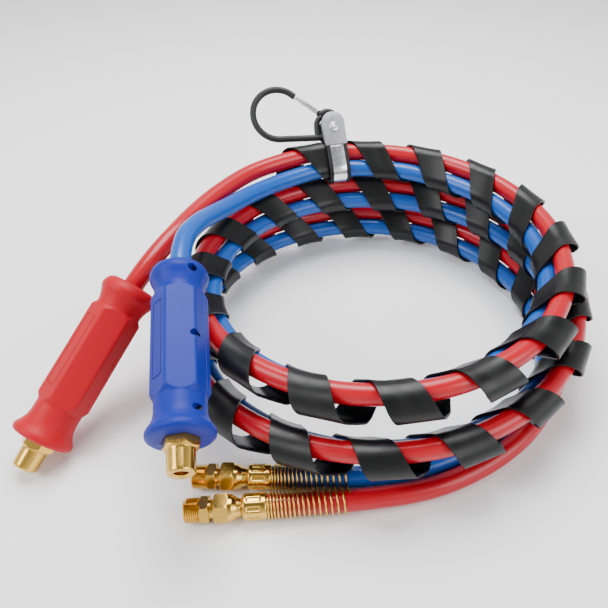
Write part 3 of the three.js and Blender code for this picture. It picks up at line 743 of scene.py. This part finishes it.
def screwPlace(colour):
    return gripPlace(colour) @ Matrix.Rotation(0 if grip[colour]["screwSide"] > 0 else math.pi, 4, "Z")


def screwCutters(place):
    cutters = []
    for at in grip["screwAt"]:
        profile = [(grip["screwSeat"], grip["wellRadius"]), (40, grip["wellRadius"])]
        centre = Vector((0, grip["screwOffset"], at))
        across = place @ placeMatrix(centre, -up, Vector((0, 1, 0)), Vector((1, 0, 0)))
        cutters.append(looseMesh("screwWell", *turnedBar(profile, across, 40)))
    return cutters


def panelCutter(place):
    facts = shell["panel"]
    facing, corner = facts["facing"], 2
    half = facts["width"] / 2 - corner
    out = Vector((math.cos(facing), math.sin(facing), 0))
    side = Vector((-math.sin(facing), math.cos(facing), 0))
    middle, tall = (facts["from"] + facts["to"]) / 2, (facts["to"] - facts["from"]) / 2 - corner
    inner = corner - facts["line"]
    section = [(inner, 2), (corner, 2), (corner, -facts["depth"]), (inner, -facts["depth"])]
    rings = []
    for k in range(32):
        angle = 2 * math.pi * (k + 0.5) / 32
        turned = Vector((math.cos(angle), math.sin(angle)))
        ring = []
        for reach, depth in section:
            across = math.copysign(half, turned.x) + turned.x * reach
            along = math.copysign(tall, turned.y) + turned.y * reach
            outward = out * (grip["bodyFlats"] / 2 + depth)
            ring.append(place @ (outward + side * across + up * (middle + along)))
        rings.append(ring)
    return looseMesh("panelGroove", *loft(rings, closedLong=True))


def finer(profile, step=0.5, most=10):
    result = [profile[0]]
    for (x0, y0), (x1, y1) in zip(profile, profile[1:]):
        parts = max(1, min(most, int(math.hypot(x1 - x0, y1 - y0) / step)))
        result += [(x0 + (x1 - x0) * k / parts, y0 + (y1 - y0) * k / parts) for k in range(1, parts + 1)]
    return result


def makeBrassEnd(colour):
    hexEnd = grip["face"] + grip["hexThickness"]
    tip = hexEnd + grip["nippleLength"]
    inner, nose, passage = grip["inner"], grip["nippleTip"], grip["passage"]
    outside = [(inner, 4), (inner, 15.6), (hexEnd - 2.2, 15.6), (hexEnd, 13.1), (hexEnd, 12.3),
               (hexEnd + 0.6, 11.7), (tip - 2, nose + 0.3), (tip - 0.8, nose - 0.1), (tip, nose - 1.2)]
    inside = [(tip, passage + 1.9), (tip - 1.6, passage), (tip - 12, passage), (tip - 14, 4), (inner, 4)]
    profile = finer([*rounded(outside, 0.35, 2), *inside], 0.45)
    flats = [(6, grip["hexFlats"], 0, 147, hexEnd)]
    points, faces = turnedBar(profile, gripPlace(colour), 96, flats)
    finishMesh(f"{colour}BrassEnd", points, faces, root, "brass", [f"{colour}_brass_end"], 25)


screwTree = screwRowTree()
for colour in ("red", "blue"):
    makeShell(colour, 1)
    makeShell(colour, -1)
    makeBrassEnd(colour)
    step = grip["screwAt"][1] - grip["screwAt"][0]
    first = (mm(grip["screwSeat"] + gap + 1.2), mm(grip["screwOffset"]), mm(grip["screwAt"][0]))
    growPiece(screwTree, f"{colour}GripScrews", {
        "Count": 3, "First": first, "Step": (0, 0, mm(step)), "Material": materials["dark_steel"]},
        screwPlace(colour), root, "dark_steel", [f"{colour}_grip_screw_{i}" for i in (1, 2, 3)])
print("grips made")

# ------------------------------------------------ swivel ends

thread = {"turns": 6.4, "pitch": 1.81, "start": 1.1, "core": 9.55, "taper": 0.35, "ridge": 1.15,
          "steps": 420, "sides": 4}
guard = {"turns": 17, "wire": 1.9, "clear": 0.5, "growth": 0.42, "steps": 1020, "sides": 12}
crimp = {"count": 8, "depth": 0.9, "middle": 59.4, "half": 6.6}


def makeAdapter(colour, place, wire):
    s = swivel
    hexStart, hexEnd = s["thread"], s["smallHex"]
    outside = [(0, 7.1), (0, 8.9), (0.7, 9.4), (hexStart - 2.4, 9.7), (hexStart - 1.6, 9.7), (hexStart, 9.7),
               (hexStart, 11.4), (hexStart + 1.3, 12.9), (hexEnd - 1.3, 12.9), (hexEnd, 11.2),
               (hexEnd, s["neckRadius"]), (s["neck"], s["neckRadius"])]
    inside = [(s["neck"], s["bore"]), (1.6, s["bore"]), (0, 7.1)]
    flats = [(6, s["smallHexFlats"], 0, hexStart, hexEnd)]
    points, faces = turnedBar(finer([*outside, *inside], 0.4), place, 96, flats)
    body = f"{colour}_adapter"
    finishMesh(f"{colour}Adapter", points, faces, body, "brass", [f"{colour}_swivel_adapter"], 25)
    growPiece(wire, f"{colour}AdapterThread", {
        "Turns": thread["turns"], "Start": mm(thread["start"]), "Growth": 0.0,
        "Length": mm(thread["turns"] * thread["pitch"]), "Radius": mm(thread["core"]),
        "End Radius": mm(thread["core"] + thread["taper"]),
        "Wire": mm(thread["ridge"]), "Steps": thread["steps"], "Sides": thread["sides"],
        "Material": materials["brass"]}, place, body, "brass", crease=20)


def makeSwivelBody(colour, place):
    s = swivel
    start, end, neck = s["nutStart"], s["nutEnd"], s["neck"] + gap
    outside = [(start, 8.2), (start, 12.4), (start + 1.5, 14), (end - 1.5, 14), (end, 12.4), (end, 11.6),
               (end + 3, 11.2), (s["taperEnd"] - 2, 8.7), (s["taperEnd"], 8.1), (s["bodyEnd"], 7.6)]
    inside = [(s["bodyEnd"], 6.3), (neck, 6.3), (neck, 8.2), (start, 8.2)]
    flats = [(6, s["nutFlats"], 0, start, end)]
    points, faces = turnedBar(finer([*outside, *inside], 0.4), place, 96, flats)
    finishMesh(f"{colour}SwivelBody", points, faces, root, "brass", [f"{colour}_swivel_body"], 25)


def makeFerrule(colour, place):
    s = swivel
    start, end, radius = s["ferruleStart"], s["ferruleEnd"], s["ferruleRadius"]
    outside = [(start, 6.3), (start, 8.4), (start + 2.4, radius), (end - 1, radius), (end, radius - 0.7)]
    profile = finer([*rounded(outside, 0.8, 3), (end, 6.3), (start, 6.3)], 0.5, 40)
    points, faces = turnedBar(profile, Matrix(), 128)
    pressed = []
    for p in points:
        along, reach, angle = p.z, math.hypot(p.x, p.y), math.atan2(p.y, p.x)
        inEnd = min(max((crimp["half"] - abs(along - crimp["middle"])) / 1.6, 0), 1)
        inTurn = min(max((math.cos(crimp["count"] * angle) + 0.25) / 0.7, 0), 1)
        if reach > 9:
            reach -= crimp["depth"] * inEnd * inEnd * (3 - 2 * inEnd) * inTurn * inTurn * (3 - 2 * inTurn)
        pressed.append(place @ Vector((reach * math.cos(angle), reach * math.sin(angle), along)))
    finishMesh(f"{colour}CrimpFerrule", pressed, faces, root, "brass", [f"{colour}_crimp_ferrule"], 40)


def makeGuard(colour, place, wire):
    start = swivel["ferruleEnd"] + 1
    reach = mm(hoseRadius + guard["clear"] + guard["wire"] / 2)
    growPiece(wire, f"{colour}SpringGuard", {
        "Turns": guard["turns"], "Start": mm(start), "Length": mm(swivel["springEnd"] - 1 - start),
        "Growth": guard["growth"], "Radius": reach, "End Radius": reach, "Wire": mm(guard["wire"] / 2),
        "Steps": guard["steps"], "Sides": guard["sides"], "Material": materials["brass"]},
        place, root, "brass", [f"{colour}_spring_guard"], 60)


wireTree = coiledWireTree()
for colour in ("red", "blue"):
    place = swivelPlace(colour)
    makeAdapter(colour, place, wireTree)
    makeSwivelBody(colour, place)
    makeFerrule(colour, place)
    makeGuard(colour, place, wireTree)
print("swivel ends made")

# ------------------------------------------------ clamp

clamp = {
    "at": -0.15, "cushionInner": 3.5, "cushionOuter": 6.1, "lip": 1.5, "cushionWidth": 25,
    "bandInner": 6.25, "band": 0.8, "bandWidth": 16, "bolt": 35.4, "boltRadius": 2, "earGap": 4.6,
    "earTop": 8, "cheekWidth": 26.5, "cheekBottom": 14.5, "cheekTop": 53.5, "cheekCorner": 12,
    "cheekFace": 17.6, "cheekSide": 5.7,
    # small dimples on the front cheek: along, above the bolt, radius and depth
    "marks": [(-0.5, 9.5, 0.8, 0.7), (-6.6, 4.4, 0.7, 0.6)],
    "boltHead": [(0, 5.2), (0.3, 5.5), (0.9, 5.4), (1.35, 4.7), (1.2, 4.2), (0.85, 3.8), (0.9, 3.3),
                 (1.5, 2.7), (2.4, 2.1), (2.9, 1.3), (3.1, 0.4)],
}


def clampPlace():
    centre, along, across, away = frameAt(clamp["at"])
    return placeMatrix(centre + coilCentre, along, across, -away)


# The way round both hoses at a distance from their centres, from the front of the opening to its rear.
def roundHoses(reach, opening, steps=40):
    start = math.asin(opening / reach)
    front = [start + (math.pi / 2 - start) * k / steps for k in range(steps + 1)]
    line = [Vector((coil["pairHalf"] + reach * math.cos(a), reach * math.sin(a))) for a in front]
    low = [math.pi / 2 + math.pi * k / (2 * steps) for k in range(2 * steps + 1)]
    line += [Vector((-coil["pairHalf"] + reach * math.cos(a), reach * math.sin(a))) for a in low]
    return [*line, *[Vector((p.x, -p.y)) for p in line[steps::-1]]]


# A section of (along, outward) points carried along a line in the plane across the hoses.
def carry(section, line, place):
    rings = []
    for i, p in enumerate(line):
        run = (line[min(i + 1, len(line) - 1)] - line[max(i - 1, 0)]).normalized()
        out = Vector((-run.y, run.x)) * -1
        rings.append([place @ Vector((x, p.x + out.x * h, p.y + out.y * h)) for x, h in section])
    return closedLoft(rings)


def makeCushion(place):
    half, thick = clamp["cushionWidth"] / 2, clamp["cushionOuter"] - clamp["cushionInner"]
    seat, edge = clamp["bandWidth"] / 2 + 0.35, thick + clamp["lip"]
    section = rounded([(0, 0), (-half, 0), (-half, edge), (-seat, edge), (-seat, thick), (seat, thick),
                       (seat, edge), (half, edge), (half, 0), (0.01, 0)], 0.9, 4)
    line = roundHoses(hoseRadius + clamp["cushionInner"], clamp["earGap"])
    finishMesh("clampCushion", *carry(section, line, place), root, "cushion_rubber", ["clamp_cushion"], 50)


def makeBand(place):
    reach, thick, half = hoseRadius + clamp["bandInner"], clamp["band"], clamp["bandWidth"] / 2
    section = rounded([(0, 0), (-half, 0), (-half, thick), (half, thick), (half, 0), (0.01, 0)], 0.25, 2)
    hug = roundHoses(reach, clamp["earGap"] + 3.4)
    ear = [(clamp["bolt"] + clamp["earTop"] - 6 * k, clamp["earGap"]) for k in range(3)]
    corner = (coil["pairHalf"] + math.sqrt(reach ** 2 - (clamp["earGap"] + 1.2) ** 2) + 0.5, clamp["earGap"])
    front = rounded([*ear, corner, tuple(hug[0]), tuple(hug[1])], 2.2, 6)
    line = [*map(Vector, front[:-1]), *hug[1:-1], *[Vector((x, -z)) for x, z in front[:-1][::-1]]]
    piece = looseMesh("clampBand", *carry(section, line, place))
    hole = turnedBar([(-30, clamp["boltRadius"] + gap), (30, clamp["boltRadius"] + gap)],
                     place @ Matrix.Translation((0, clamp["bolt"], 0)), 40)
    low, high = clamp["bolt"] - 7, clamp["bolt"] + clamp["earTop"] + 1
    trims = [looseMesh("earTrim", *boxShape((x, low, -8), (x + 6, high, 8), place)) for x in (-11, 5)]
    cutAway(piece, [looseMesh("boltHole", *hole), *trims])
    settle(piece, root, "bright_steel", ["clamp_band"])


def cheekOutline(inset):
    half, top = clamp["cheekWidth"] / 2 - inset, clamp["cheekTop"] - inset
    corner, bottom = clamp["cheekCorner"] - inset, clamp["cheekBottom"] + inset
    line = [(-half, bottom), (half, bottom)]
    for start, x in ((0, half - corner), (math.pi / 2, corner - half)):
        turns = [start + math.pi / 2 * k / 14 for k in range(15)]
        line += [(x + corner * math.cos(a), top - corner + corner * math.sin(a)) for a in turns]
    return line


def makeCheek(place, side, slot, stands):
    low, high = clamp["cheekSide"], clamp["cheekFace"]
    steps = [(low, 0.3), (low + 0.3, 0), (high - 1, 0), (high - 0.5, 0.14), (high - 0.15, 0.45), (high, 0.9)]
    rings = [[place @ Vector((x, y, z * side)) for x, y in cheekOutline(inset)] for z, inset in steps]
    piece = looseMesh(f"clamp{slot.title().replace('_', '')}Cheek", *closedLoft(rings))
    seatReach = hoseRadius + clamp["bandInner"] + clamp["band"] + gap
    ring = roundHoses(seatReach, 0.01, 30)
    bar = [[place @ Vector((x, p.x, p.y)) for p in ring] for x in (-20, 20)]
    cutters = [looseMesh("seat", *closedLoft(bar))]
    through = (0, 0, clamp["boltRadius"] + gap, 30)
    facing = place @ Matrix.Scale(side, 4, (0, 0, 1))
    for x, y, radius, depth in [through, *(clamp["marks"] if side > 0 else ())]:
        at = facing @ Matrix.Translation((x, clamp["bolt"] + y, 0))
        drill = turnedBar([(high - depth, radius), (high + 4, radius)], at, 32)
        cutters.append(looseMesh("drill", *drill))
    cutAway(piece, cutters)
    settle(piece, root, slot, [stands])


def makeBolt(place):
    front = clamp["cheekFace"] + gap
    rear = -front
    at = place @ Matrix.Translation((0, clamp["bolt"], 0))
    shank = [(rear - 6, 1.3), (rear - 5.5, clamp["boltRadius"]), (front - 0.01, clamp["boltRadius"])]
    profile = [*shank, *[(front + z, r) for z, r in rounded(clamp["boltHead"], 0.4, 3)]]
    finishMesh("clampBolt", *turnedBar(profile, at, 64), root, "bright_steel", ["clamp_bolt"], 35)
    hole = clamp["boltRadius"] + gap
    washer = [(rear - 1, hole), (rear - 1, 4.4), (rear - 0.8, 4.6), (rear - 0.2, 4.6), (rear, 4.4),
              (rear, hole), (rear - 1, hole)]
    finishMesh("clampWasher", *turnedBar(washer, at, 48), root, "bright_steel", ["clamp_washer"], 35)
    low, high = rear - 4.6, rear - 1 - gap
    nut = finer([(low, hole), (low, 3.6), (low + 0.6, 4.1), (high - 0.6, 4.1), (high, 3.6), (high, hole),
                 (low, hole)], 0.2)
    turned = turnedBar(nut, at, 72, [(6, 7, 0, low, high)])
    finishMesh("clampNut", *turned, root, "bright_steel", ["clamp_nut"], 25)


place = clampPlace()
makeCushion(place)
makeBand(place)
makeCheek(place, 1, "zinc", "clamp_front_cheek")
makeCheek(place, -1, "black_zinc", "clamp_rear_cheek")
makeBolt(place)
print("clamp made")

# ------------------------------------------------ snap hook

hook = {
    "rod": 3.8, "turn": math.radians(-4), "gate": 3.2, "spine": -7.5, "side": 7.5, "crown": 11.5,
    "crownHeight": 12, "corner": 8.4, "hingeAngle": 134, "bar": -17.6, "loopAt": -63.3, "loop": 29.4,
    "noseAngle": -312, "sides": 24, "hinge": 1.5, "pinHole": 1.15, "slotHalf": 1.5, "tongueHalf": 1.1,
    # what turns on or holds the gate: (distance, radius) along the gate's line
    "lug": [(-2, 3), (-1.6, 3.7), (4.1, 3.7), (4.5, 3.3)],
    "pinShape": [(-3.9, 0.6), (-3.6, 1), (3.6, 1), (3.9, 0.6)],
}


def arcPoints(x, y, radius, start, stop, steps=40):
    turns = [math.radians(start + (stop - start) * k / steps) for k in range(steps + 1)]
    return [Vector((x + radius * math.cos(a), y + radius * math.sin(a), 0)) for a in turns]


def hookLine():
    h = hook
    line = arcPoints(h["side"] - h["crown"], h["crownHeight"], h["crown"], h["hingeAngle"], 0)
    line += arcPoints(h["side"] - h["corner"], h["spine"] + h["corner"], h["corner"], 0, -90, 24)
    run = h["side"] - h["corner"]
    line += [Vector((run + (h["loopAt"] - run) * k / 12, h["spine"], 0)) for k in range(1, 12)]
    return line + arcPoints(h["loopAt"], h["spine"] + h["loop"], h["loop"], -90, h["noseAngle"], 72)


def pinCutter(pinAt):
    return looseMesh("pinHole", *turnedBar([(-6, hook["pinHole"]), (6, hook["pinHole"])], pinAt, 24))


def makeHook():
    bolted = clampPlace() @ Matrix.Translation((0, clamp["bolt"], 0))
    clampAt = bolted @ Matrix.Rotation(hook["turn"], 4, "Z")
    line = hookLine()
    x = (line[-1] - line[0]).normalized()
    length = (line[-1] - line[0]).length
    gateAt = clampAt @ placeMatrix(line[0], x, up.cross(x), up)
    along = gateAt @ Matrix.Rotation(math.pi / 2, 4, "Y")
    sides, bar, seat = hook["sides"], hook["bar"], length - 2.4
    rod = looseMesh("hookRod", *sweepTube([clampAt @ p for p in line], hook["rod"], sides))
    eye = [Vector(p) for p in ((bar, hook["spine"], 0), (bar, 9, 0), (bar + 2, 14, 0), (bar + 6.5, 17.6, 0))]
    eyeLine = [clampAt @ p for p in smoothPath(eye, 8)]
    joined = [looseMesh("eyeBar", *sweepTube(eyeLine, hook["rod"] - 0.2, sides)),
              looseMesh("lug", *turnedBar(hook["lug"], along, sides)),
              looseMesh("noseEnd", *turnedBar([(seat, 3.7), (length + 1.5, 3.7)], along, sides))]
    half = hook["slotHalf"]
    slotCut = looseMesh("slot", *boxShape((-3.6, -10, -half), (11.9, 10, half), gateAt))
    noseCut = looseMesh("noseCut", *boxShape((length - 14.4, -7, -7), (seat, 7, 7), gateAt))
    pinAt = gateAt @ Matrix.Translation((hook["hinge"], 0, 0))
    cutAway(rod, [slotCut, noseCut, pinCutter(pinAt)], joined)
    rod.name = "snapHookBody"
    settle(rod, "carabiner", "hook_black", ["carabiner_body"])
    makeGate(gateAt, pinAt, along, length)


def makeGate(gateAt, pinAt, along, length):
    end, reach = length - 2.7, hook["gate"]
    profile = rounded([(5.6, 1.2), (5.6, reach - 0.5), (6.6, reach), (end - 1, reach), (end, reach - 0.5),
                       (end, 2.3), (end - 0.6, 2.1), (end - 0.6, 0.8)], 0.3, 3)
    barrel = looseMesh("gateBarrel", *turnedBar(profile, along, 48))
    turns = [math.pi / 2 + math.pi * k / 12 for k in range(13)]
    bend = [(hook["hinge"] + 2 * math.cos(a), 1.8 * math.sin(a)) for a in turns]
    outline = [(8.3, -1.8), (8.3, 1.8), *bend]
    half = hook["tongueHalf"]
    rings = [[gateAt @ Vector((x, y, z)) for x, y in outline] for z in (-half, half)]
    cutAway(barrel, [pinCutter(pinAt)], [looseMesh("tab", *closedLoft(rings))])
    barrel.name = "snapHookGate"
    settle(barrel, "gate", "bright_steel", ["carabiner_gate"])
    pin = turnedBar(hook["pinShape"], pinAt, 32)
    finishMesh("snapHookPin", *pin, "carabiner", "hook_black", ["carabiner_gate_pin"], 50)


makeHook()
print("snap hook made")

# ------------------------------------------------ what stays as the frame made it

kept = {
    "brass": ["red_grip_ferrule", "blue_grip_ferrule", "red_hose_stem", "blue_hose_stem"],
    "bright_steel": ["clamp_spacer", "carabiner_gate_plug", "carabiner_gate_spring"],
}
for slot, names in kept.items():
    for name in names:
        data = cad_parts[name].data
        data.materials.clear()
        data.materials.append(materials[slot])

# ------------------------------------------------ floor and light

studio = {
    "floor": (0.95, 0.95, 0.955),
    "zenith": (0.16, 0.165, 0.175),
    "horizon": (1.0, 1.0, 1.0),
    "worldStrength": 1.1,
    # place, turn in degrees about x, y, z, size and power
    "lights": {
        "overhead": ((0.1, 0.5, 1.5), (-16, 0, 0), 1.0, 46),
        "keyLeft": ((-1.2, -0.6, 1.4), (42, 0, -62), 0.9, 24),
        "fillRight": ((1.4, -0.8, 0.9), (60, 0, 60), 1.0, 16),
    },
}


def makeStudio():
    mesh = bpy.data.meshes.new("floor")
    mesh.from_pydata([(-4, -4, 0), (4, -4, 0), (4, 5, 0), (-4, 5, 0)], [], [(0, 1, 2, 3)])
    floor = addObject("floor", mesh)
    material = bpy.data.materials.new("floorPaper")
    material.use_nodes = True
    paper = material.node_tree.nodes["Principled BSDF"]
    paper.inputs["Base Color"].default_value = (*studio["floor"], 1)
    paper.inputs["Roughness"].default_value = 0.85
    mesh.materials.append(material)
    for name, (place, turn, size, power) in studio["lights"].items():
        lamp = bpy.data.lights.new(name, "AREA")
        lamp.size, lamp.energy = size, power
        light = addObject(name, lamp)
        light.location = place
        light.rotation_euler = [math.radians(a) for a in turn]
    world = bpy.data.worlds.new("paleRoom")
    world.use_nodes = True
    tree = world.node_tree
    back = tree.nodes["Background"]
    direction = addNode(tree, "ShaderNodeNewGeometry").outputs["Incoming"]
    split = addNode(tree, "ShaderNodeSeparateXYZ", {0: direction})
    reach = {"From Min": -0.9, "From Max": -0.25, "Value": split.outputs[2]}
    height = addNode(tree, "ShaderNodeMapRange", reach)
    mixed = {"Factor": height.outputs[0], 6: (*studio["zenith"], 1), 7: (*studio["horizon"], 1)}
    sky = addNode(tree, "ShaderNodeMix", mixed, data_type="RGBA")
    tree.links.new(sky.outputs[2], back.inputs["Color"])
    back.inputs["Strength"].default_value = studio["worldStrength"]
    bpy.context.scene.world = world


makeStudio()
print("studio made")
